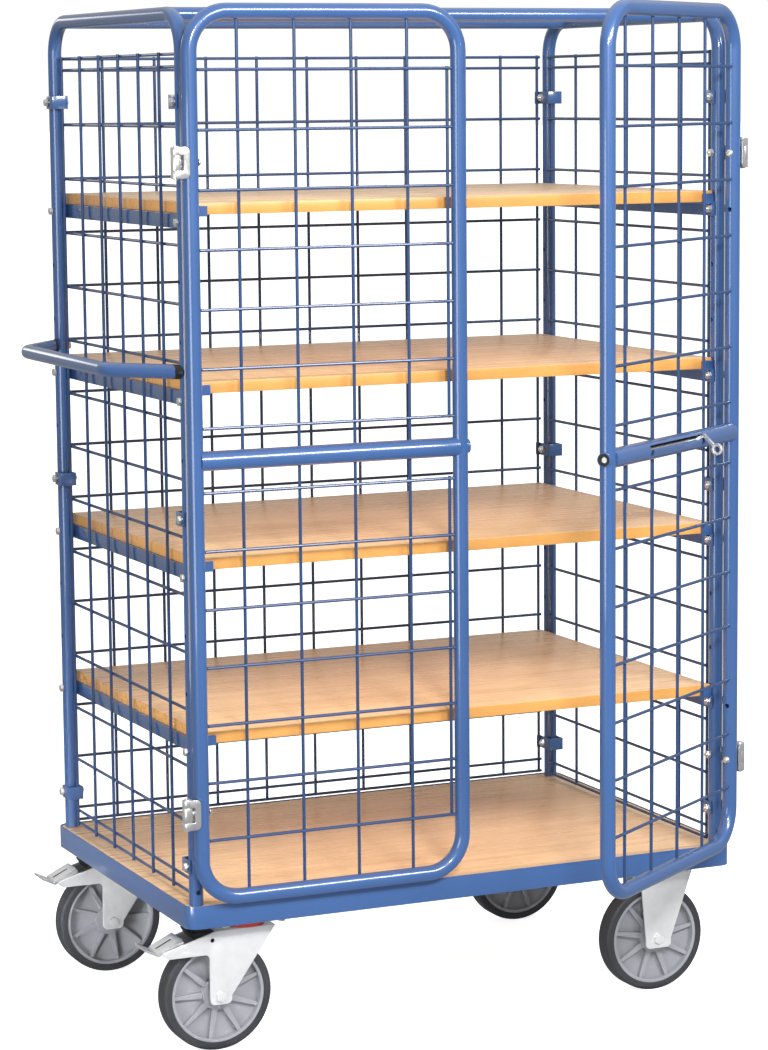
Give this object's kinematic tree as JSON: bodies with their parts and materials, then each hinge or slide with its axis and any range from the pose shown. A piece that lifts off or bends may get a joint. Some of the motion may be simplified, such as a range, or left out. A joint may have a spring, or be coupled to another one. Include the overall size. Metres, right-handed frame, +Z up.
{
  "type": "mesh cage trolley",
  "caption": "Wheeled warehouse cage with wire-mesh walls, wooden shelves, a push handle and a pair of hinged mesh doors that close with a sliding bolt.",
  "frame": {"origin": "centre of the base, on the floor under it", "axes": "+X along the trolley away from the push handle, +Y from the doors to the rear mesh, +Z up"},
  "size_m": [1.1775, 1.0396, 1.804],
  "materials": {
    "blue_paint": "glossy powder coat",
    "beech_board": "satin beech laminate",
    "zinc": "bright zinc plate",
    "wheel_plastic": "light grey moulded plastic",
    "tyre_rubber": "dark grey rubber",
    "seal_red": "red moulded plastic",
    "black_plastic": "black moulded plastic"
  },
  "bodies": {
    "cart": {"base_frame": "blue_paint", "deck": "beech_board", "end_frame_left": "blue_paint", "end_frame_right": "blue_paint", "top_tube_front": "blue_paint", "top_tube_rear": "blue_paint", "rear_mesh": "blue_paint", "left_mesh": "blue_paint", "right_mesh": "blue_paint", "mesh_clips": "blue_paint", "clip_bolts": "zinc", "rails_left": "blue_paint", "rails_right": "blue_paint", "rail_bolts": "zinc", "shelf_1": "beech_board", "shelf_2": "beech_board", "shelf_3": "beech_board", "shelf_4": "beech_board", "handle": "blue_paint", "handle_plugs": "black_plastic", "handle_screws": "zinc", "hinge_leaves": "zinc", "hinge_pins": "zinc", "hinge_bolts": "zinc", "fixed_forks": "zinc", "fixed_axles": "zinc", "swivel_plates": "zinc", "plate_screws": "zinc"},
    "left_door": {"left_door_frame": "blue_paint", "left_door_mesh": "blue_paint", "left_door_leaves": "zinc", "left_door_bolts": "zinc"},
    "right_door": {"right_door_frame": "blue_paint", "right_door_mesh": "blue_paint", "right_door_leaves": "zinc", "right_door_bolts": "zinc", "lock_bushes": "black_plastic"},
    "lock": {"lock_bolt": "zinc", "lock_lever": "zinc"},
    "swivel_front": {"swivel_fork_front": "zinc", "seal_ring_front": "seal_red", "swivel_axle_front": "zinc", "brake_block_front": "black_plastic", "brake_pin_front": "zinc"},
    "pedal_front": {"brake_pedal_front": "zinc"},
    "swivel_rear": {"swivel_fork_rear": "zinc", "seal_ring_rear": "seal_red", "swivel_axle_rear": "zinc", "brake_block_rear": "black_plastic", "brake_pin_rear": "zinc"},
    "pedal_rear": {"brake_pedal_rear": "zinc"},
    "wheel_left_front": {"wheel_left_front": "wheel_plastic", "tyre_left_front": "tyre_rubber"},
    "wheel_right_front": {"wheel_right_front": "wheel_plastic", "tyre_right_front": "tyre_rubber"},
    "wheel_left_rear": {"wheel_left_rear": "wheel_plastic", "tyre_left_rear": "tyre_rubber"},
    "wheel_right_rear": {"wheel_right_rear": "wheel_plastic", "tyre_right_rear": "tyre_rubber"}
  },
  "joints": [
    {"name": "left_door_hinge", "type": "hinge", "parent": "cart", "child": "left_door", "pos_m": [-0.54, -0.373, 0.992], "axis": [0, 0, -1], "range_deg": [0, 220]},
    {"name": "right_door_hinge", "type": "hinge", "parent": "cart", "child": "right_door", "pos_m": [0.54, -0.373, 0.992], "axis": [0, 0, 1], "range_deg": [-35, 205]},
    {"name": "lock_slide", "type": "slide", "parent": "right_door", "child": "lock", "axis": [-0.8192, -0.5736, 0], "range_m": [0, 0.2]},
    {"name": "swivel_front", "type": "hinge", "parent": "cart", "child": "swivel_front", "pos_m": [-0.402, -0.282, 0.22], "axis": [0, 0, 1], "continuous": true},
    {"name": "pedal_front", "type": "hinge", "parent": "swivel_front", "child": "pedal_front", "pos_m": [-0.526, -0.282, 0.191], "axis": [0, -1, 0], "range_deg": [0, 10]},
    {"name": "swivel_rear", "type": "hinge", "parent": "cart", "child": "swivel_rear", "pos_m": [-0.402, 0.282, 0.22], "axis": [0, 0, 1], "continuous": true},
    {"name": "pedal_rear", "type": "hinge", "parent": "swivel_rear", "child": "pedal_rear", "pos_m": [-0.526, 0.282, 0.191], "axis": [0, -1, 0], "range_deg": [0, 10]},
    {"name": "wheel_left_front_spin", "type": "hinge", "parent": "swivel_front", "child": "wheel_left_front", "pos_m": [-0.462, -0.282, 0.1], "axis": [0, 1, 0], "continuous": true},
    {"name": "wheel_right_front_spin", "type": "hinge", "parent": "cart", "child": "wheel_right_front", "pos_m": [0.404, -0.282, 0.1], "axis": [0, 1, 0], "continuous": true},
    {"name": "wheel_left_rear_spin", "type": "hinge", "parent": "swivel_rear", "child": "wheel_left_rear", "pos_m": [-0.462, 0.282, 0.1], "axis": [0, 1, 0], "continuous": true},
    {"name": "wheel_right_rear_spin", "type": "hinge", "parent": "cart", "child": "wheel_right_rear", "pos_m": [0.404, 0.282, 0.1], "axis": [0, 1, 0], "continuous": true}
  ]
}
